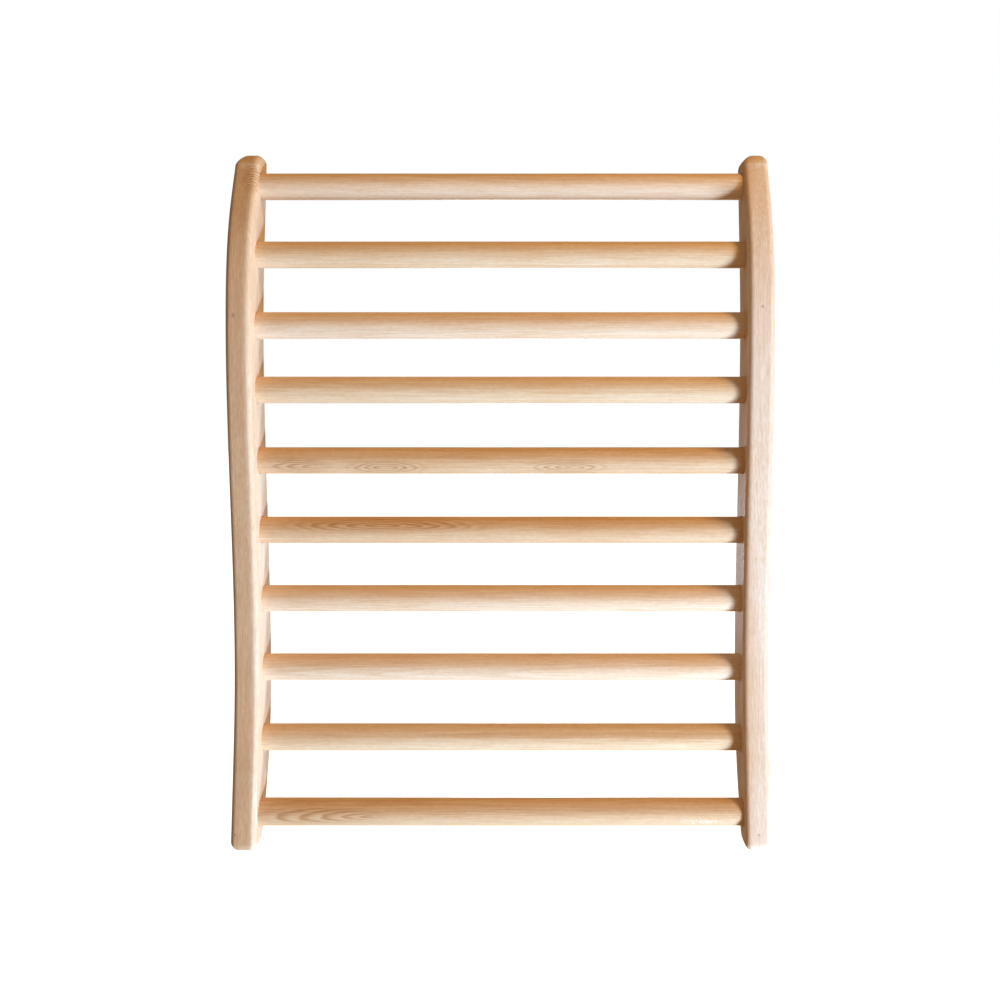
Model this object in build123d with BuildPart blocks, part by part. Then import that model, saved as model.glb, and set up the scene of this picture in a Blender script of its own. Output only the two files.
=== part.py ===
"""Wooden ladder backrest: two S-curved side rails joined by ten round rungs.

Units are mm.  X is the width, the front faces -Y and +Z is up.  The origin is
on the floor, under the middle of the backrest.
"""

import os

from build123d import *

os.makedirs("parts", exist_ok=True)

# Overall sizes.
overall_width = 400.0
overall_height = 520.0

# Side rails.
rail_thickness = 19.0
rail_depth = 40.0
curve_swing = 11.2
edge_radius = 4.0
tip_radius = 0.40 * rail_depth
heel_radius = 0.15 * rail_depth

# Rungs, counted from the top.
rung_count = 10
rung_diameter = 20.0
bottom_rung_height = 24.4
top_rung_drop = 24.5
short_gap_loss = 5.0
rungs_above_short_gap = 3

# Sockets that the rung ends sit in.
socket_depth = 12.0
socket_clearance = 0.05
socket_end_gap = 0.3

# Front line of a rail from the floor up.  Each station holds the height as a
# share of the overall height, the swing of the S curve as a share of
# curve_swing and the wood in front of the S curve as a share of half the depth.
# The back line is the front line turned half round about the rail's middle.
front_stations = [
    (0.0, 0.13, 1.0),
    (0.104, 0.60, 1.0),
    (0.208, 0.98, 1.0),
    (0.5, 0.0, 1.0),
    (0.779, -1.0, 1.0),
    (0.892, -0.60, 0.87),
    (0.95, -0.35, 0.48),
    (1.0, -0.13, 0.05),
]

# Sizes that follow from the ones above.
inner_gap = overall_width - 2 * rail_thickness
rung_length = inner_gap + 2 * (socket_depth - socket_end_gap)
socket_radius = rung_diameter / 2 + socket_clearance
rung_span = overall_height - bottom_rung_height - top_rung_drop
rung_pitch = (rung_span + short_gap_loss) / (rung_count - 1)

# The front line as (offset, height) points, and its half turn for the back.
front_points = [
    (swing * curve_swing - share * rail_depth / 2, height * overall_height)
    for height, swing, share in front_stations
]
back_points = [(-offset, overall_height - height) for offset, height in front_points]


def line_offset(points, height):
    """Return the offset at which the smooth line through points has this height."""
    line = Spline(*[(x, y, 0) for x, y in points])
    rising = points[-1][1] > points[0][1]
    low = 0.0
    high = 1.0
    for _ in range(50):
        middle = (low + high) / 2
        if (line.position_at(middle).Y < height) == rising:
            low = middle
        else:
            high = middle
    return line.position_at((low + high) / 2).X


# Height and depth of every rung; each is centred in the wood at its height.
rung_places = []
for index in range(rung_count):
    height = overall_height - top_rung_drop - index * rung_pitch
    if index >= rungs_above_short_gap:
        height += short_gap_loss
    front = line_offset(front_points, height)
    back = line_offset(back_points, height)
    rung_places.append(((front + back) / 2, height))

# Left rail: the side outline is drawn in the Y-Z plane, on the outer face.
with BuildPart() as left_rail:
    with BuildSketch(Plane.YZ.offset(-overall_width / 2)):
        with BuildLine():
            Spline(*front_points)
            Line(front_points[-1], back_points[0])
            Spline(*back_points)
            Line(back_points[-1], front_points[0])
        make_face()
        fillet(vertices().sort_by(Axis.X)[1:3], tip_radius)
        corners = vertices().sort_by(Axis.X)
        fillet([corners[0], corners[-1]], heel_radius)
    extrude(amount=rail_thickness)
    fillet(faces().sort_by(Axis.X)[0].edges(), edge_radius)
    fillet(faces().sort_by(Axis.X)[-1].edges(), edge_radius)
    with BuildSketch(Plane.YZ.offset(-inner_gap / 2)):
        with Locations(*rung_places):
            Circle(socket_radius)
    extrude(amount=-socket_depth, mode=Mode.SUBTRACT)
left_rail.part.label = "left_rail"
export_step(left_rail.part, "parts/left_rail.step")

# Right rail: the left rail mirrored about the middle of the backrest.
with BuildPart() as right_rail:
    add(mirror(left_rail.part, about=Plane.YZ))
right_rail.part.label = "right_rail"
export_step(right_rail.part, "parts/right_rail.step")

# Rungs: plain round dowels that end just short of the socket floors.
for index, place in enumerate(rung_places):
    with BuildPart() as rung:
        with BuildSketch(Plane.YZ.offset(-rung_length / 2)):
            with Locations(place):
                Circle(rung_diameter / 2)
        extrude(amount=rung_length)
    rung.part.label = f"rung_{index + 1:02d}"
    export_step(rung.part, f"parts/{rung.part.label}.step")
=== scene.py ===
"""Looks of the ladder backrest: two sawn rails and ten dowels in pale softwood.

Every length is in metres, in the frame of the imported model: X is the width,
the front faces -Y and +Z is up.
"""

import logging
import math
from dataclasses import dataclass, field
from enum import Enum

import bmesh
import bpy
from mathutils import Euler, Matrix, Vector, noise

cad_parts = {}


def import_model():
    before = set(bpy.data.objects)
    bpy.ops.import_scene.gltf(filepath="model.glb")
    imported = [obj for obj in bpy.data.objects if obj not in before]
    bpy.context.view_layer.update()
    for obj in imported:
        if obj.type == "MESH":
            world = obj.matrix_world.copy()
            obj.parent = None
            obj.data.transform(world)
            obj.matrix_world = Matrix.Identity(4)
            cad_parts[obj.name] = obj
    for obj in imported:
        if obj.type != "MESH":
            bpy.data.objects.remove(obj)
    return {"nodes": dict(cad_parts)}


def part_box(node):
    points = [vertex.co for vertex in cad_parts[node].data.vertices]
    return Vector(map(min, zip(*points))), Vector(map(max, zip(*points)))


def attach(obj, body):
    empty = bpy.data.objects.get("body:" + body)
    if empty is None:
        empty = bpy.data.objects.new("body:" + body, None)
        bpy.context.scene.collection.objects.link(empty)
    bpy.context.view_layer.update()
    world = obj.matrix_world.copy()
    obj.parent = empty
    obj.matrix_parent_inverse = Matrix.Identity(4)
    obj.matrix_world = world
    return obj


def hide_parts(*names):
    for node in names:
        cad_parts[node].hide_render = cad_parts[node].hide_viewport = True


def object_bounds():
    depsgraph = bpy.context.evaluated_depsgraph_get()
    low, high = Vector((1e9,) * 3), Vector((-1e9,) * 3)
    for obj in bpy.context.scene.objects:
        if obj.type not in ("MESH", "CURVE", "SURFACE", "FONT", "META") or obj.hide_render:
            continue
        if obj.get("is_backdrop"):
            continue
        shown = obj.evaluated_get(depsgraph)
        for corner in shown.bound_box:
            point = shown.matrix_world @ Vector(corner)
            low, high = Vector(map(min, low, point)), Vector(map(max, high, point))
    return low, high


log = logging.getLogger("backrest")

Rgb = tuple[float, float, float]
Point2 = tuple[float, float]
Point3 = tuple[float, float, float]
Socket = bpy.types.NodeSocket

# Points nearer to each other than this are one point.
MERGE = 1e-6


def linear(red: int, green: int, blue: int) -> Rgb:
    """Turn a display colour into the linear light values a shader takes.

    Args:
        red: Red, 0 to 255.
        green: Green, 0 to 255.
        blue: Blue, 0 to 255.

    Returns:
        The same colour as linear values from 0 to 1.
    """
    values = []
    for channel in (red, green, blue):
        share = channel / 255
        values.append(share / 12.92 if share <= 0.04045 else ((share + 0.055) / 1.055) ** 2.4)
    return (values[0], values[1], values[2])


class Grain(Enum):
    """The way the fibres of a piece run, as the turn that stands them along Z."""

    UPRIGHT = (0.0, 0.0, 0.0)
    ACROSS = (0.0, -math.pi / 2, 0.0)


class Cloud(Enum):
    """The noises in the wood.

    Each has its stretch along the grain, its features in a metre, its finer
    layers and how strong they are.
    """

    BEND = (0.16, 16.0, 1.5, 0.5)
    FRET = (0.12, 150.0, 2.0, 0.5)
    PATCH = (0.25, 45.0, 3.0, 0.5)
    BAND = (0.035, 330.0, 2.0, 0.55)
    MOTTLE = (0.35, 620.0, 3.0, 0.6)
    STREAK = (0.030, 1150.0, 2.5, 0.6)


class Season(Enum):
    """How the wood darkens through a year, as places in the year and the dark at each."""

    RINGS = ((0.0, 0.0), (0.30, 0.06), (0.62, 0.34), (0.86, 1.0), (0.95, 0.82), (1.0, 0.0))
    ARCHES = ((0.0, 0.0), (0.35, 0.08), (0.70, 0.85), (0.85, 1.0), (1.0, 0.0))


class Cast(Enum):
    """Colours that the wood is multiplied with, for its light places and its dark ones."""

    STREAK = ((1.05, 1.06, 1.07), (0.90, 0.82, 0.73))
    MOTTLE = ((1.04, 1.05, 1.06), (0.98, 0.92, 0.86))


class NodeBench:
    """A small helper that lays out and wires the nodes of one material."""

    def __init__(self, name: str) -> None:
        """Make an empty material.

        Args:
            name: The material's name.
        """
        self.material = bpy.data.materials.new(name)
        self.material.use_nodes = True
        self.tree = self.material.node_tree
        self.tree.nodes.clear()

    def add(self, kind: str, **settings: object) -> bpy.types.Node:
        """Add a node.

        Args:
            kind: The node's type, without the leading "ShaderNode".
            **settings: Properties of the node, set as they are.

        Returns:
            The new node.
        """
        node = self.tree.nodes.new("ShaderNode" + kind)
        for key, value in settings.items():
            setattr(node, key, value)
        return node

    def feed(self, socket: Socket, value: object) -> None:
        """Give a socket its value, from another socket or as a constant.

        Args:
            socket: The input to fill.
            value: An output socket, a number or a tuple.
        """
        if isinstance(value, Socket):
            self.tree.links.new(value, socket)
        else:
            socket.default_value = value

    def math(self, operation: str, first: object, second: object = 0.0) -> Socket:
        """Combine two numbers.

        Args:
            operation: The operation's name.
            first: A socket or a number.
            second: A socket or a number.

        Returns:
            The result's socket.
        """
        node = self.add("Math", operation=operation)
        self.feed(node.inputs[0], first)
        self.feed(node.inputs[1], second)
        return node.outputs[0]

    def vector(
        self, operation: str, first: object, second: object = (0.0, 0.0, 0.0)
    ) -> Socket:
        """Combine two vectors.

        Args:
            operation: The operation's name.
            first: A socket or a tuple.
            second: A socket or a tuple.

        Returns:
            The vector result, or the number for a length or distance.
        """
        node = self.add("VectorMath", operation=operation)
        self.feed(node.inputs[0], first)
        self.feed(node.inputs[1], second)
        return node.outputs["Value" if operation in ("LENGTH", "DISTANCE") else "Vector"]

    def within(self, place: Socket, centre: Point3, size: Point3) -> Socket:
        """Measure how far out a place is in an egg-shaped patch.

        Args:
            place: The socket that says where.
            centre: The patch's middle.
            size: Half its size each way.

        Returns:
            The socket of a number, 0 in the middle and 1 at the edge.
        """
        away = self.vector("SUBTRACT", place, centre)
        return self.vector("LENGTH", self.vector("DIVIDE", away, size))

    def noise(
        self, place: object, scale: float, detail: float = 2.0, rough: float = 0.5
    ) -> bpy.types.Node:
        """Add a cloudy noise.

        Args:
            place: The socket that says where.
            scale: How many features there are in a metre.
            detail: How many finer layers are laid over it.
            rough: How strong the finer layers are.

        Returns:
            The noise node.
        """
        node = self.add("TexNoise", noise_dimensions="3D")
        self.feed(node.inputs["Vector"], place)
        node.inputs["Scale"].default_value = scale
        node.inputs["Detail"].default_value = detail
        node.inputs["Roughness"].default_value = rough
        return node

    def cloud(self, kind: Cloud, place: Socket) -> bpy.types.Node:
        """Add one of the wood's noises.

        Args:
            kind: Which noise.
            place: The socket that says where, with the grain along Z.

        Returns:
            The noise node.
        """
        along, scale, detail, rough = kind.value
        drawn = self.vector("MULTIPLY", place, (1.0, 1.0, along))
        return self.noise(drawn, scale, detail, rough)

    def spread(
        self, value: object, low: float, high: float, to_low: float = 0.0, to_high: float = 1.0
    ) -> Socket:
        """Stretch a number from one range to another, without leaving it.

        Args:
            value: The socket to stretch.
            low: Start of the range it comes from.
            high: End of the range it comes from.
            to_low: Start of the range it goes to.
            to_high: End of the range it goes to.

        Returns:
            The stretched number's socket.
        """
        node = self.add("MapRange", clamp=True)
        self.feed(node.inputs["Value"], value)
        node.inputs["From Min"].default_value = low
        node.inputs["From Max"].default_value = high
        node.inputs["To Min"].default_value = to_low
        node.inputs["To Max"].default_value = to_high
        return node.outputs["Result"]

    def darkness(self, years: Socket, season: Season) -> Socket:
        """Turn a count of years into how dark the wood is.

        Args:
            years: The socket with the years, of which the part past the point counts.
            season: How the wood darkens through a year.

        Returns:
            The dark's socket, from 0 to 1.
        """
        node = self.add("ValToRGB")
        elements = node.color_ramp.elements
        while len(elements) < len(season.value):
            elements.new(0.5)
        for element, (place, dark) in zip(elements, season.value):
            element.position = place
            element.color = (dark, dark, dark, 1.0)
        self.feed(node.inputs["Fac"], self.math("FRACT", years))
        return node.outputs["Color"]

    def tint(self, colour: object, tint: object) -> Socket:
        """Multiply a colour with another."""
        return self.mix(1.0, colour, tint, "MULTIPLY")

    def mix(self, share: object, first: object, second: object, kind: str = "MIX") -> Socket:
        """Mix two colours.

        Args:
            share: How much of the second colour there is.
            first: A socket or a linear colour.
            second: A socket or a linear colour.
            kind: The way they are mixed.

        Returns:
            The mixed colour's socket.
        """
        node = self.add("Mix", data_type="RGBA", blend_type=kind)
        inputs = [socket for socket in node.inputs if socket.type == "RGBA"]
        self.feed(node.inputs["Factor"], share)
        for socket, value in zip(inputs, (first, second)):
            if isinstance(value, tuple):
                value = (*value[:3], 1.0)
            self.feed(socket, value)
        return next(socket for socket in node.outputs if socket.type == "RGBA")


@dataclass(frozen=True)
class PinKnot:
    """A small round knot or nick that shows on a sawn face."""

    place: Point3
    core: float = 0.0010
    halo: float = 0.0030
    depth: float = 0.85


@dataclass(frozen=True)
class Arches:
    """A patch where the yearly rings come up to the surface in arches round an eye."""

    place: Point3
    size: Point3
    eye: Point3
    stretch: Point3
    ring: float
    depth: float
    brown: Rgb = (0.68, 0.50, 0.34)


@dataclass(frozen=True)
class Scuff:
    """A patch where the surface is worn into small pale specks."""

    place: Point3
    size: Point3
    depth: float = 0.55
    pale: Rgb = (0.86, 0.79, 0.70)


@dataclass(frozen=True)
class Softwood:
    """Bare, sanded softwood: a board or dowel cut from one tree's rings."""

    name: str
    early: Rgb
    late: Rgb
    grain: Grain
    pith: Point3
    lean: Point2 = (0.0, 0.0)
    ring: float = 0.0012
    contrast: float = 0.55
    wander: float = 0.006
    fret: float = 0.55
    uneven: float = 3.2
    amber: Rgb = (0.93, 0.80, 0.64)
    roughness: float = 0.6
    # Heartwood tint, partly painted shade: it darkens the side of a rail that is turned away from
    # the key light.
    heartwood_shade: Rgb | None = None
    heartwood_shade_reach: float = 0.1
    heartwood_shade_soft: float = 0.0015
    knots: tuple[PinKnot, ...] = ()
    arches: tuple[Arches, ...] = ()
    scuffs: tuple[Scuff, ...] = ()

    def rings(self, bench: NodeBench, place: Socket) -> tuple[Socket, Socket, Socket]:
        """Lay out the yearly rings.

        Args:
            bench: The material's node bench.
            place: Where the surface is, with the pith along Z.

        Returns:
            How dark the late wood is, a tone for each year and the distance from the pith.
        """
        bent = place
        for kind, far in ((Cloud.BEND, self.wander), (Cloud.FRET, self.ring * self.fret)):
            push = bench.cloud(kind, place).outputs["Color"]
            push = bench.vector("SUBTRACT", push, (0.5, 0.5, 0.5))
            bent = bench.vector("ADD", bent, bench.vector("MULTIPLY", push, (far, far, 0.0)))
        reach = bench.vector("LENGTH", bench.vector("MULTIPLY", bent, (1.0, 1.0, 0.0)))
        width = bench.add("TexNoise", noise_dimensions="1D")
        width.inputs["Scale"].default_value = 170.0
        width.inputs["Detail"].default_value = 1.0
        bench.feed(width.inputs["W"], reach)
        years = bench.math("MULTIPLY", reach, 1.0 / self.ring)
        uneven = bench.math("MULTIPLY", width.outputs["Fac"], self.uneven)
        years = bench.math("ADD", years, uneven)
        year = bench.add("TexWhiteNoise", noise_dimensions="1D")
        bench.feed(year.inputs["W"], bench.math("FLOOR", years))
        return bench.darkness(years, Season.RINGS), year.outputs["Value"], reach

    def arched(self, bench: NodeBench, colour: Socket, here: Socket) -> Socket:
        """Paint the patches of arched rings over the wood's colour.

        Args:
            bench: The material's node bench.
            colour: The wood's colour.
            here: The surface's own place, not turned.

        Returns:
            The colour with the arches on it.
        """
        for patch in self.arches:
            away = bench.within(here, patch.place, patch.size)
            share = bench.spread(away, 0.55, 1.0, patch.depth, 0.0)
            arm = bench.vector("SUBTRACT", here, patch.eye)
            arm = bench.vector("LENGTH", bench.vector("MULTIPLY", arm, patch.stretch))
            drawn = bench.vector("MULTIPLY", here, patch.stretch)
            waver = bench.noise(drawn, 260.0).outputs["Fac"]
            years = bench.math("MULTIPLY", arm, 1.0 / patch.ring)
            years = bench.math("ADD", years, bench.math("MULTIPLY", waver, 1.6))
            dark = bench.math("MULTIPLY", bench.darkness(years, Season.ARCHES), share)
            colour = bench.mix(dark, colour, bench.tint(colour, patch.brown))
        return colour

    def scuffed(self, bench: NodeBench, colour: Socket, here: Socket) -> Socket:
        """Paint the worn specks over the wood's colour.

        Args:
            bench: The material's node bench.
            colour: The wood's colour.
            here: The surface's own place, not turned.

        Returns:
            The colour with the specks on it.
        """
        for scuff in self.scuffs:
            away = bench.within(here, scuff.place, scuff.size)
            share = bench.spread(away, 0.4, 1.0, scuff.depth, 0.0)
            drawn = bench.vector("MULTIPLY", here, (0.6, 1.0, 1.0))
            speck = bench.spread(bench.noise(drawn, 900.0).outputs["Fac"], 0.54, 0.60)
            colour = bench.mix(bench.math("MULTIPLY", speck, share), colour, scuff.pale)
        return colour

    def knotted(self, bench: NodeBench, colour: Socket, here: Socket) -> Socket:
        """Paint the pin knots over the wood's colour.

        Args:
            bench: The material's node bench.
            colour: The wood's colour.
            here: The surface's own place, not turned.

        Returns:
            The colour with the knots on it.
        """
        tall = Vector((1.0, 1.0, 0.8))
        tan = tuple(value * 0.80 for value in self.late)
        brown = tuple(value * 0.30 for value in self.late)
        for knot in self.knots:
            drawn = bench.vector("MULTIPLY", here, tuple(tall))
            away = bench.vector("DISTANCE", drawn, tuple(Vector(knot.place) * tall))
            halo = bench.spread(away, knot.core, knot.halo, 0.45, 0.0)
            core = bench.spread(away, knot.core * 0.4, knot.core * 1.5, knot.depth, 0.0)
            colour = bench.mix(core, bench.mix(halo, colour, tan), brown)
        return colour

    def coloured(self, bench: NodeBench, place: Socket, streak: Socket) -> tuple[Socket, Socket]:
        """Paint the wood itself, from its rings to its fine mottling.

        Args:
            bench: The material's node bench.
            place: Where the surface is, with the pith along Z.
            streak: The noise of the fine streaks.

        Returns:
            The colour, and how dark the late wood is.
        """
        dark, year, reach = self.rings(bench, place)
        patch = bench.cloud(Cloud.PATCH, place).outputs["Fac"]
        band = bench.cloud(Cloud.BAND, place).outputs["Fac"]
        mottle = bench.cloud(Cloud.MOTTLE, place).outputs["Fac"]
        faint, strong = 0.65 * self.contrast, 1.15 * self.contrast
        depth = bench.math("MULTIPLY", dark, bench.spread(patch, 0.3, 0.7, faint, strong))
        depth = bench.math("MULTIPLY", depth, bench.spread(year, 0.0, 1.0, 0.6, 1.2))
        colour = bench.mix(depth, self.early, self.late)
        # Darker band near the pith: partly heartwood, partly painted shade on the side of a rail
        # turned away from the key light.
        if self.heartwood_shade is not None:
            start, end = self.heartwood_shade_reach - self.heartwood_shade_soft, self.heartwood_shade_reach + self.heartwood_shade_soft
            inner = bench.spread(reach, start, end, 1.0, 0.0)
            colour = bench.mix(inner, colour, bench.tint(colour, self.heartwood_shade))
        warm = tuple(a * b for a, b in zip(self.early, self.amber))
        colour = bench.mix(bench.spread(patch, 0.42, 0.78, 0.0, 0.55), colour, warm)
        colour = bench.mix(bench.spread(band, 0.35, 0.75, 0.0, 0.30), colour, warm)
        colour = bench.tint(colour, bench.mix(bench.spread(streak, 0.30, 0.72), *Cast.STREAK.value))
        colour = bench.tint(colour, bench.mix(bench.spread(mottle, 0.32, 0.68), *Cast.MOTTLE.value))
        return colour, dark

    def material(self) -> bpy.types.Material:
        """Build the procedural material.

        Returns:
            The material, on object coordinates.
        """
        bench = NodeBench(self.name)
        here = bench.add("TexCoord").outputs["Object"]
        stand = bench.add("Mapping", vector_type="POINT")
        bench.feed(stand.inputs["Vector"], here)
        turn = Euler((*self.lean, 0.0)).to_matrix() @ Euler(self.grain.value).to_matrix()
        stand.inputs["Rotation"].default_value = turn.to_euler()
        stand.inputs["Location"].default_value = -(turn @ Vector(self.pith))
        place = stand.outputs["Vector"]

        streak = bench.cloud(Cloud.STREAK, place).outputs["Fac"]
        colour, dark = self.coloured(bench, place, streak)
        for paint in (self.arched, self.scuffed, self.knotted):
            colour = paint(bench, colour, here)

        ridges = bench.math("MULTIPLY", dark, 0.35)
        bump = bench.add("Bump")
        bump.inputs["Strength"].default_value = 0.22
        bump.inputs["Distance"].default_value = 0.00025
        height = bench.math("ADD", ridges, bench.math("MULTIPLY", streak, 0.9))
        bench.feed(bump.inputs["Height"], height)

        shader = bench.add("BsdfPrincipled")
        sleek, rough = self.roughness - 0.06, self.roughness + 0.08
        bench.feed(shader.inputs["Base Color"], colour)
        bench.feed(shader.inputs["Roughness"], bench.spread(streak, 0.3, 0.7, sleek, rough))
        shader.inputs["IOR"].default_value = 1.42
        bench.feed(shader.inputs["Normal"], bump.outputs["Normal"])
        output = bench.add("OutputMaterial")
        bench.feed(output.inputs["Surface"], shader.outputs["BSDF"])
        return bench.material


@dataclass(frozen=True)
class StudioWhite:
    """Plain white paint of the floor, with a glow that keeps shade off it."""

    name: str = "studio_white"
    glow: float = 1.0

    def material(self) -> bpy.types.Material:
        """Build the floor's material.

        Returns:
            The material.
        """
        bench = NodeBench(self.name)
        here = bench.add("TexCoord").outputs["Object"]
        cloud = bench.noise(here, 3.0, 2.0).outputs["Fac"]
        shader = bench.add("BsdfPrincipled")
        white = bench.mix(cloud, (0.90, 0.90, 0.90), (0.94, 0.94, 0.935))
        bench.feed(shader.inputs["Base Color"], white)
        bench.feed(shader.inputs["Roughness"], bench.spread(cloud, 0.3, 0.7, 0.85, 0.95))
        shader.inputs["Emission Color"].default_value = (1.0, 1.0, 1.0, 1.0)
        shader.inputs["Emission Strength"].default_value = self.glow
        output = bench.add("OutputMaterial")
        bench.feed(output.inputs["Surface"], shader.outputs["BSDF"])
        return bench.material


def finish_mesh(name: str, mesh: bmesh.types.BMesh, sharp: float = 32.0) -> bpy.types.Object:
    """Turn a finished bmesh into a smooth-shaded object at the origin.

    Args:
        name: The object's name.
        mesh: The bmesh, in place, which is used up.
        sharp: Angle in degrees past which an edge stays crisp.

    Returns:
        The object, linked to the scene.
    """
    bmesh.ops.recalc_face_normals(mesh, faces=mesh.faces)
    data = bpy.data.meshes.new(name)
    mesh.to_mesh(data)
    mesh.free()
    for polygon in data.polygons:
        polygon.use_smooth = True
    data.set_sharp_from_angle(angle=math.radians(sharp))
    piece = bpy.data.objects.new(name, data)
    bpy.context.scene.collection.objects.link(piece)
    return piece


def dress(piece: bpy.types.Object, node: str, finish: Softwood) -> None:
    """Give a piece its finish and its place in the frame.

    Args:
        piece: The finished object.
        node: The CAD node that it stands for.
        finish: The wood it is made from.
    """
    piece.data.materials.clear()
    piece.data.materials.append(finish.material())
    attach(piece, "root")
    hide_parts(node)
    log.info("%s: %d faces, stands for %s", piece.name, len(piece.data.polygons), node)


@dataclass
class SmoothLine:
    """A smooth line through a few points, bending as little as it can."""

    points: list[Point2]

    def sample(self, step: float) -> list[Vector]:
        """Walk along the line.

        Args:
            step: About how far apart the samples are.

        Returns:
            The samples, from the first point to the last.
        """
        points = [Vector(point) for point in self.points]
        runs = [(b - a).length for a, b in zip(points, points[1:])]
        bends = self.bends(points, runs)
        line = []
        for index, run in enumerate(runs):
            count = max(2, round(run / step))
            for part in range(count):
                far = part / count
                near = 1.0 - far
                pull = (near**3 - near) * bends[index] + (far**3 - far) * bends[index + 1]
                line.append(near * points[index] + far * points[index + 1] + pull * run * run / 6)
        return [*line, points[-1]]

    def bends(self, points: list[Vector], runs: list[float]) -> list[Vector]:
        """Work out how the line bends at each point.

        Args:
            points: The points it goes through.
            runs: The distances between them.

        Returns:
            The second derivative at each point, nothing at the two ends.
        """
        heads, sides = [0.0], [Vector((0.0, 0.0))]
        for index in range(1, len(points) - 1):
            before, after = runs[index - 1], runs[index]
            come = (points[index] - points[index - 1]) / before
            leave = (points[index + 1] - points[index]) / after
            pivot = 2 * (before + after) - before * heads[-1]
            heads.append(after / pivot)
            sides.append((6 * (leave - come) - before * sides[-1]) / pivot)
        bends = [Vector((0.0, 0.0))]
        for head, side in zip(reversed(heads), reversed(sides)):
            bends.insert(0, side - head * bends[0])
        bends[0] = Vector((0.0, 0.0))
        return bends


@dataclass
class SideRail:
    """A side rail: an S-curved board with rounded edges, thumb-shaped ends and ten sockets."""

    node: str
    finish: Softwood
    sockets: list[Vector]
    tip_round: Point2
    seed: float
    swing: float = 0.0112
    half_waves: float = 1.72
    first_crest: float = 0.36
    depth: float = 0.040
    edge_radius: float = 0.004
    tip_radius: float = 0.016
    heel_radius: float = 0.006
    foot_round: Point2 = (0.006, 0.007)
    thinnest: float = 0.0007
    flat_inset: float = 0.0004
    socket_radius: float = 0.01005
    socket_depth: float = 0.012
    socket_chamfer: float = 0.0004
    socket_segments: int = 72
    overshoot: float = 0.002
    sanding: float = 0.00016
    step: float = 0.0025
    corner_step: float = 0.35
    # Places up the board: share of the height, of the swing and of the full depth.
    stations: tuple[Point3, ...] = (
        (0.0, 0.13, 1.0),
        (0.104, 0.60, 1.0),
        (0.208, 0.98, 1.0),
        (0.5, 0.0, 1.0),
        (0.779, -1.0, 1.0),
        (0.892, -0.60, 0.87),
        (0.95, -0.35, 0.48),
        (1.0, -0.13, 0.05),
    )
    low: Vector = field(init=False)
    high: Vector = field(init=False)

    def __post_init__(self) -> None:
        """Read the rail's place from its CAD node."""
        self.low, self.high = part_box(self.node)

    @property
    def height(self) -> float:
        """The rail's height."""
        return self.high.z - self.low.z

    @property
    def side(self) -> float:
        """Minus one for the left rail, plus one for the right."""
        return math.copysign(1.0, self.low.x + self.high.x)

    @property
    def inner_face(self) -> float:
        """Where the face with the sockets is, across the width."""
        return self.low.x if self.side > 0 else self.high.x

    def front_half(self) -> list[Vector]:
        """Trace the front of the board with half of each rounded end.

        Returns:
            Points from the floor's heel up the front to the middle of the tip.
        """
        places = [
            (swing * self.swing - wood * self.depth / 2, share * self.height)
            for share, swing, wood in self.stations
        ]
        line = SmoothLine(places).sample(self.step)
        lower = self.corner(line[::-1], 0.0, self.heel_radius)[::-1]
        return self.corner(lower, self.height, self.tip_radius)

    def corner(self, line: list[Vector], level: float, radius: float) -> list[Vector]:
        """Round the corner between the end of a line and a level cut.

        Args:
            line: The line, which ends at the cut.
            level: The height of the cut.
            radius: The radius of the rounding.

        Returns:
            The line, shortened, with the rounding's arc at its end.
        """
        height = level - math.copysign(radius, level - line[0].y)
        for index in range(len(line) - 1, 0, -1):
            along = (line[index] - line[index - 1]).normalized()
            aside = Vector((-along.y, along.x))
            if aside.x < 0:
                aside.negate()
            centre = line[index] + aside * radius
            if abs(centre.y - level) >= radius:
                break
        start = line[index] - centre
        turn = start.angle_signed(Vector((0.0, level - height)))
        count = max(4, round(abs(turn) * radius / (self.step * self.corner_step)))
        arc = []
        for part in range(1, count + 1):
            spoke = start.copy()
            spoke.rotate(Matrix.Rotation(-turn * part / count, 2))
            arc.append(Vector((centre.x, height)) + spoke)
        return [*line[: index + 1], *arc]

    def outline(self) -> list[Vector]:
        """Trace the whole board seen from the side.

        Returns:
            The closed outline, as depth and height.
        """
        front = self.front_half()
        back = [Vector((-point.x, self.height - point.y)) for point in front]
        return front + back

    def sand(self, mesh: bmesh.types.BMesh) -> None:
        """Take the machine-made look off the curved faces, as a hand sander does.

        Args:
            mesh: The rail, in place.
        """
        for vert in mesh.verts:
            if min(abs(vert.co.x - self.low.x), abs(vert.co.x - self.high.x)) < MERGE:
                continue
            inward = Vector((0.0, self.middle(vert.co.z) - vert.co.y, 0.0))
            if inward.length < 0.25 * self.depth:
                continue
            where = Vector((vert.co.x * 60, vert.co.y * 20 + self.seed, vert.co.z * 55))
            vert.co += inward.normalized() * self.sanding * (0.5 + 0.5 * noise.noise(where))

    def round_tips(self, mesh: bmesh.types.BMesh) -> None:
        """Round the corners of both ends across the board's thickness.

        Args:
            mesh: The rail, in place.
        """
        centre = (self.low.x + self.high.x) / 2
        half = (self.high.x - self.low.x) / 2
        for vert in mesh.verts:
            over = vert.co.x - centre
            upper = vert.co.z > self.low.z + self.height / 2
            inner, outer = self.tip_round if upper else self.foot_round
            radius = inner if over * self.side < 0 else outer
            end = self.high.z - vert.co.z if upper else vert.co.z - self.low.z
            if end >= radius:
                continue
            width = max(self.thinnest, half - self.gone(radius, end))
            vert.co.x = centre + over * width / (half - self.gone(self.edge_radius, end))

    def gone(self, radius: float, end: float) -> float:
        """How far a rounding of some radius cuts in, at some distance from the end."""
        return radius - math.sqrt(radius**2 - min(radius, max(0.0, radius - end)) ** 2)

    def middle(self, height: float) -> float:
        """Find the middle of the S curve.

        Args:
            height: The height above the floor.

        Returns:
            The depth of the board's middle line there.
        """
        turn = height / self.height * self.half_waves - self.first_crest
        return self.swing * math.cos(math.pi * turn)

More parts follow.
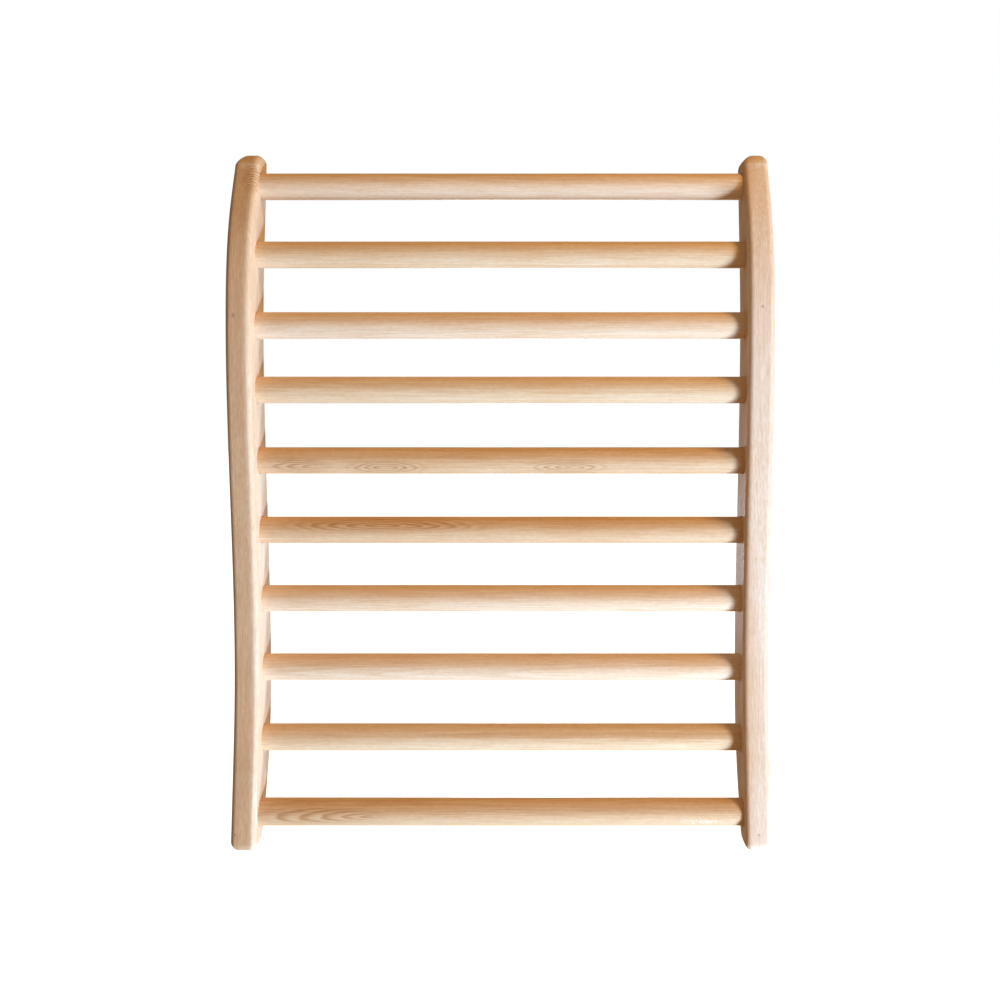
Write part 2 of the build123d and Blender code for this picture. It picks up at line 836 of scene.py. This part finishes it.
    def cutter(self) -> bpy.types.Object:
        """Make the drill that cuts every socket, with a fine chamfer at each mouth.

        Returns:
            The drill, which is removed after use.
        """
        mesh = bmesh.new()
        steps = (
            (self.socket_depth - self.socket_chamfer, 1.0),
            (2 * self.socket_chamfer, 1 + 2 * self.socket_chamfer / self.socket_radius),
            (self.overshoot, 1.0),
        )
        for place in self.sockets:
            floor = Matrix.Translation((0.0, 0.0, -self.socket_depth))
            tip = bmesh.ops.create_circle(
                mesh,
                segments=self.socket_segments,
                radius=self.socket_radius,
                cap_ends=True,
                matrix=floor,
            )["verts"]
            bit = set(tip)
            face = tip[0].link_faces[0]
            for step, (rise, growth) in enumerate(steps):
                grown = bmesh.ops.extrude_face_region(mesh, geom=[face])["geom"]
                if step > 0:
                    bmesh.ops.delete(mesh, geom=[face], context="FACES_ONLY")
                rim = [item for item in grown if isinstance(item, bmesh.types.BMVert)]
                face = next(item for item in grown if isinstance(item, bmesh.types.BMFace))
                bmesh.ops.translate(mesh, verts=rim, vec=(0.0, 0.0, rise))
                bmesh.ops.scale(mesh, verts=rim, vec=(growth, growth, 1.0))
                bit.update(rim)
            home = Matrix.Translation((self.inner_face, place.y, place.z))
            home = home @ Matrix.Rotation(-self.side * math.pi / 2, 4, "Y")
            bmesh.ops.transform(mesh, matrix=home, verts=list(bit))
        return finish_mesh(self.node + "_drill", mesh)

    def build(self) -> bpy.types.Object:
        """Saw, round, sand and drill the rail.

        Returns:
            The finished piece.
        """
        mesh = bmesh.new()
        corners = [(self.low.x, point.x, point.y + self.low.z) for point in self.outline()]
        board = mesh.faces.new([mesh.verts.new(corner) for corner in corners])
        grown = bmesh.ops.extrude_face_region(mesh, geom=[board])
        moved = [item for item in grown["geom"] if isinstance(item, bmesh.types.BMVert)]
        bmesh.ops.translate(mesh, verts=moved, vec=(self.high.x - self.low.x, 0.0, 0.0))
        bmesh.ops.remove_doubles(mesh, verts=mesh.verts, dist=MERGE)
        bmesh.ops.recalc_face_normals(mesh, faces=mesh.faces)
        rims = [edge for edge in mesh.edges if any(len(face.verts) > 4 for face in edge.link_faces)]
        bmesh.ops.bevel(
            mesh,
            geom=rims,
            offset=self.edge_radius,
            offset_type="OFFSET",
            affect="EDGES",
            segments=8,
            profile=0.5,
            clamp_overlap=False,
            material=-1,
        )
        flats = [face for face in mesh.faces if len(face.verts) > 4 and abs(face.normal.x) > 0.999]
        bmesh.ops.inset_region(
            mesh, faces=flats, thickness=self.flat_inset, use_even_offset=True
        )
        self.round_tips(mesh)
        self.sand(mesh)
        rail = finish_mesh(self.node + "_wood", mesh)
        self.drill(rail)
        return rail

    def drill(self, rail: bpy.types.Object) -> None:
        """Cut the sockets into the rail.

        Args:
            rail: The rail, whose mesh is changed.
        """
        drill = self.cutter()
        cut = rail.modifiers.new("sockets", "BOOLEAN")
        cut.operation = "DIFFERENCE"
        cut.solver = "MANIFOLD"
        cut.object = drill
        level = rail.modifiers.new("level", "WEIGHTED_NORMAL")
        level.keep_sharp = True
        graph = bpy.context.evaluated_depsgraph_get()
        data = bpy.data.meshes.new_from_object(rail.evaluated_get(graph))
        rail.modifiers.clear()
        rail.data = data
        data.name = rail.name
        bpy.data.objects.remove(drill)


@dataclass
class Rung:
    """A round rung: a sanded dowel whose ends sit in the rails' sockets."""

    node: str
    finish: Softwood
    seed: float
    segments: int = 72
    rings: int = 150
    end_chamfer: float = 0.0006
    sanding: float = 0.00010
    low: Vector = field(init=False)
    high: Vector = field(init=False)

    def __post_init__(self) -> None:
        """Read the rung's place from its CAD node."""
        self.low, self.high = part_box(self.node)

    @property
    def centre(self) -> Vector:
        """The middle of the dowel."""
        return (self.low + self.high) / 2

    @property
    def radius(self) -> float:
        """The dowel's radius."""
        return (self.high.z - self.low.z) / 2

    def sand(self, mesh: bmesh.types.BMesh) -> None:
        """Make the dowel as slightly uneven as hand sanding leaves it.

        Args:
            mesh: The rung, in place.
        """
        for vert in mesh.verts:
            axis = Vector((vert.co.x, self.centre.y, self.centre.z))
            spoke = vert.co - axis
            where = Vector((vert.co.x * 22, spoke.y * 40 + self.seed, spoke.z * 40))
            share = 0.5 + 0.5 * noise.noise(where)
            vert.co = axis + spoke * (1 - self.sanding * share / self.radius)

    def build(self) -> bpy.types.Object:
        """Turn and sand the dowel.

        Returns:
            The finished piece.
        """
        mesh = bmesh.new()
        length = self.high.x - self.low.x
        bmesh.ops.create_cone(
            mesh,
            cap_ends=True,
            segments=self.segments,
            radius1=self.radius,
            radius2=self.radius,
            depth=length,
        )
        rims = [
            edge for edge in mesh.edges if abs(edge.verts[0].co.z - edge.verts[1].co.z) < MERGE
        ]
        bmesh.ops.bevel(
            mesh,
            geom=rims,
            offset=self.end_chamfer,
            offset_type="OFFSET",
            affect="EDGES",
            segments=2,
            profile=0.5,
            clamp_overlap=True,
            material=-1,
        )
        longs = [edge for edge in mesh.edges if edge.calc_length() > length / 2]
        bmesh.ops.subdivide_edges(mesh, edges=longs, cuts=self.rings, use_grid_fill=True)
        lying = Matrix.Rotation(math.pi / 2, 3, "Y")
        bmesh.ops.rotate(mesh, verts=mesh.verts, cent=(0, 0, 0), matrix=lying)
        bmesh.ops.translate(mesh, verts=mesh.verts, vec=self.centre)
        self.sand(mesh)
        return finish_mesh(self.node + "_wood", mesh)


@dataclass(frozen=True)
class Lamp:
    """A soft round light panel: where it hangs, how large and how strong it is."""

    name: str
    turn: float
    rise: float
    size: float
    strength: float
    tint: Rgb
    distance: float = 1.6

    @property
    def way(self) -> Vector:
        """The direction from the backrest to the panel."""
        turn, rise = math.radians(self.turn), math.radians(self.rise)
        level = math.cos(rise)
        return Vector((math.sin(turn) * level, -math.cos(turn) * level, math.sin(rise)))

    @property
    def power(self) -> float:
        """The watts that light a white sheet at the backrest to the lamp's strength."""
        return self.strength * (math.pi * self.distance) ** 2


@dataclass
class Studio:
    """The floor, the lights and the camera."""

    aim: Vector
    lamps: tuple[Lamp, ...] = (
        Lamp("key_light", 50.0, -24.0, 0.33, 1.03, (0.58, 0.80, 1.0)),
        Lamp("low_light", 52.0, -58.0, 0.33, 1.14, (0.50, 0.74, 1.0)),
        Lamp("top_light", 54.0, 46.0, 0.33, 0.42, (1.0, 0.63, 0.22)),
    )
    back: float = 0.8
    back_tint: Rgb = (0.78, 0.92, 1.0)
    back_size: float = 8.0
    back_tilt: float = -98.0
    room: Rgb = (0.310, 0.225, 0.128)
    floor_half: float = 6.0
    floor_drop: float = 0.0006
    stand: Point3 = (0.030, -0.7926, 0.3343)
    focal: float = 37.8
    shift: Point2 = (-0.0413, -0.1)

    def floor(self) -> bpy.types.Object:
        """Lay a plain floor under the backrest.

        Returns:
            The floor.
        """
        mesh = bmesh.new()
        bmesh.ops.create_grid(mesh, x_segments=24, y_segments=24, size=self.floor_half)
        bmesh.ops.translate(mesh, verts=mesh.verts, vec=(0.0, 0.0, -self.floor_drop))
        floor = finish_mesh("studio_floor", mesh)
        floor.data.materials.append(StudioWhite().material())
        floor.visible_shadow = False
        floor.visible_diffuse = False
        floor.visible_glossy = False
        floor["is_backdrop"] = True
        return floor

    def panel(self, lamp: Lamp) -> None:
        """Hang a soft light panel that faces the backrest.

        Args:
            lamp: The panel's settings.
        """
        light = bpy.data.lights.new(lamp.name, "AREA")
        light.shape = "DISK"
        light.size = lamp.size
        light.energy = lamp.power
        light.color = lamp.tint
        holder = bpy.data.objects.new(lamp.name, light)
        holder.location = self.aim + lamp.way * lamp.distance
        holder.rotation_euler = (-lamp.way).to_track_quat("-Z", "Y").to_euler()
        holder.visible_camera = False
        bpy.context.scene.collection.objects.link(holder)

    def back_light(self) -> None:
        """Light the back from behind, so that the rails' inner faces stay as they are."""
        light = bpy.data.lights.new("back_light", "SUN")
        light.angle = math.radians(self.back_size)
        light.energy = self.back * math.pi
        light.color = self.back_tint
        holder = bpy.data.objects.new("back_light", light)
        holder.rotation_euler = (math.radians(self.back_tilt), 0.0, 0.0)
        bpy.context.scene.collection.objects.link(holder)

    def world(self) -> None:
        """Fill the room with a low warm light in front of white paper."""
        world = bpy.data.worlds.new("pale_room")
        world.use_nodes = True
        tree = world.node_tree
        tree.nodes.clear()
        glow = tree.nodes.new("ShaderNodeBackground")
        seen = tree.nodes.new("ShaderNodeLightPath")
        tone = tree.nodes.new("ShaderNodeMixRGB")
        tone.inputs["Color1"].default_value = (*self.room, 1.0)
        tone.inputs["Color2"].default_value = (1.0, 1.0, 1.0, 1.0)
        output = tree.nodes.new("ShaderNodeOutputWorld")
        tree.links.new(seen.outputs["Is Camera Ray"], tone.inputs["Fac"])
        tree.links.new(tone.outputs["Color"], glow.inputs["Color"])
        tree.links.new(glow.outputs["Background"], output.inputs["Surface"])
        bpy.context.scene.world = world

    def camera(self) -> None:
        """Stand the camera in front, level, a little above the middle and to the right."""
        lens = bpy.data.cameras.new("camera")
        lens.sensor_width = 36.0
        lens.lens = self.focal
        lens.shift_x, lens.shift_y = self.shift
        holder = bpy.data.objects.new("camera", lens)
        holder.location = self.stand
        holder.rotation_euler = (math.pi / 2, 0.0, 0.0)
        bpy.context.scene.collection.objects.link(holder)
        bpy.context.scene.camera = holder

    def build(self) -> None:
        """Set up the whole studio."""
        self.floor()
        for lamp in self.lamps:
            self.panel(lamp)
        self.back_light()
        self.world()
        self.camera()
        bpy.context.scene.view_settings.view_transform = "Standard"


class Tone(Enum):
    """How pale a dowel's wood is, as its spring and autumn colours."""

    PALE = ((232, 205, 183), (208, 168, 136))
    PLAIN = ((227, 199, 171), (202, 159, 121))
    WARM = ((220, 186, 154), (191, 141, 100))

    @property
    def early(self) -> Rgb:
        """The colour of the spring wood."""
        return linear(*self.value[0])

    @property
    def late(self) -> Rgb:
        """The colour of the autumn wood."""
        return linear(*self.value[1])


@dataclass(frozen=True)
class RungFigure:
    """Where arched rings come up on the front of a rung, from the rung's middle."""

    along: float
    rise: float
    half: float
    slope: float
    ring: float
    shift: float = 0.0
    forward: float = 0.010
    reach: Point2 = (0.019, 0.0075)
    depth: float = 0.85

    def arches(self, centre: Vector) -> Arches:
        """Lay the figure on a rung.

        Args:
            centre: The rung's middle.

        Returns:
            The patch of arched rings.
        """
        along, front, up = centre.x + self.along, centre.y - self.forward, centre.z + self.rise
        return Arches(
            place=(along, front, up),
            size=(self.half, *self.reach),
            eye=(along + self.shift, front, up),
            stretch=(self.slope, 0.2, 1.0),
            ring=self.ring,
            depth=self.depth,
        )


@dataclass
class Backrest:
    """The whole backrest: two rails and the rungs between them."""

    rung_names: list[str]
    scuffed_rung: int = 10
    tones: dict[int, Tone] = field(
        default_factory=lambda: {
            **dict.fromkeys((1, 3, 7, 8), Tone.PALE),
            **dict.fromkeys((5, 6, 10), Tone.WARM),
        }
    )
    figures: dict[int, tuple[RungFigure, ...]] = field(
        default_factory=lambda: {
            5: (
                RungFigure(along=-0.086, rise=-0.0050, half=0.034, slope=0.17, ring=0.0013),
                RungFigure(along=0.050, rise=-0.0045, half=0.034, slope=0.13, ring=0.0012),
                RungFigure(-0.150, rise=-0.0040, half=0.026, slope=0.12, ring=0.0013, shift=0.012),
            ),
            6: (RungFigure(along=-0.088, rise=0.0042, half=0.086, slope=0.085, ring=0.0011),),
            10: (RungFigure(-0.135, rise=0.0, half=0.055, slope=0.085, ring=0.0014, shift=0.050),),
        }
    )

    def rail_wood(self, name: str, side: float) -> Softwood:
        """Choose the board a rail is sawn from.

        Args:
            name: The material's name.
            side: Minus one for the left rail, plus one for the right.

        Returns:
            The wood.
        """
        if side < 0:
            tip = Arches(
                place=(-0.1855, -0.0126, 0.5005),
                size=(0.0085, 0.060, 0.0160),
                eye=(-0.1858, -0.0126, 0.4820),
                stretch=(1.5, 0.05, 1.0),
                ring=0.0021,
                depth=0.95,
            )
            return Softwood(
                name,
                early=linear(231, 210, 193),
                late=linear(205, 170, 141),
                grain=Grain.UPRIGHT,
                pith=(-0.400, -0.020, 0.26),
                lean=(0.004, 0.0),
                ring=0.0015,
                contrast=0.40,
                wander=0.003,
                # Left rail: the outer side and the front face are darkened up to the inner arris,
                # partly heartwood and partly painted shade.
                heartwood_shade=(0.75, 0.60, 0.465),
                heartwood_shade_reach=0.2145,
                heartwood_shade_soft=0.0014,
                arches=(tip,),
                knots=(
                    PinKnot((-0.1935, -0.0305, 0.3957)),
                    PinKnot((-0.1962, -0.0170, 0.013), core=0.0005, halo=0.0015),
                ),
            )
        return Softwood(
            name,
            early=linear(226, 206, 195),
            late=linear(204, 170, 148),
            grain=Grain.UPRIGHT,
            pith=(0.060, 0.050, 0.26),
            lean=(-0.003, 0.004),
            ring=0.0013,
            contrast=0.38,
            wander=0.003,
            # Right rail: the inner face and its arris are darkened, partly heartwood and partly
            # painted shade.
            heartwood_shade=(0.84, 0.72, 0.60),
            heartwood_shade_reach=0.1420,
            heartwood_shade_soft=0.0035,
            knots=(
                PinKnot((0.1906, -0.0310, 0.4023), core=0.0005, halo=0.0016),
                PinKnot((0.1908, -0.0175, 0.013), core=0.0005, halo=0.0015),
            ),
        )

    def rung_wood(self, index: int, centre: Vector) -> Softwood:
        """Choose the dowel a rung is cut from.

        Args:
            index: The rung's number, from the top.
            centre: The rung's middle.

        Returns:
            The wood.
        """
        tone = self.tones.get(index, Tone.PLAIN)
        turn = 2.4 * index
        far = 0.03 + 0.012 * (index % 4)
        pith = (0.0, centre.y + far * math.cos(turn), centre.z + far * math.sin(turn))
        lean = (0.010 * math.sin(1.7 * index), 0.012 * math.cos(2.3 * index))
        scuffs = ()
        if index == self.scuffed_rung:
            place = (0.147, centre.y - 0.009, centre.z - 0.0045)
            scuffs = (Scuff(place, size=(0.020, 0.008, 0.0030)),)
        return Softwood(
            f"rung_wood_{index:02d}",
            early=tone.early,
            late=tone.late,
            grain=Grain.ACROSS,
            pith=pith,
            lean=lean,
            ring=0.0013,
            contrast=0.5,
            arches=tuple(figure.arches(centre) for figure in self.figures.get(index, ())),
            scuffs=scuffs,
        )

    def build(self) -> None:
        """Build every rung and then the rails, whose sockets follow the rungs."""
        sockets = []
        for index, node in enumerate(self.rung_names, 1):
            low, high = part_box(node)
            centre = (low + high) / 2
            sockets.append(centre)
            rung = Rung(node, self.rung_wood(index, centre), seed=7.3 * index)
            dress(rung.build(), node, rung.finish)
        for node, side, tip in (
            ("left_rail", -1.0, (0.005, 0.0115)),
            ("right_rail", 1.0, (0.011, 0.0055)),
        ):
            wood = self.rail_wood(node + "_wood", side)
            rail = SideRail(node, wood, sockets, tip_round=tip, seed=11.0 * side)
            dress(rail.build(), node, rail.finish)


def main() -> None:
    """Build the backrest and its studio, aimed at the middle of the model's box."""
    logging.basicConfig(level=logging.INFO, format="%(name)s: %(message)s")
    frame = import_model()
    cad_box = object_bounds()
    low, high = Vector(cad_box[0]), Vector(cad_box[1])
    rungs = sorted(name for name in frame["nodes"] if name.startswith("rung_"))
    Backrest(rungs).build()
    Studio((low + high) / 2).build()


if __name__ == "__main__":
    main()
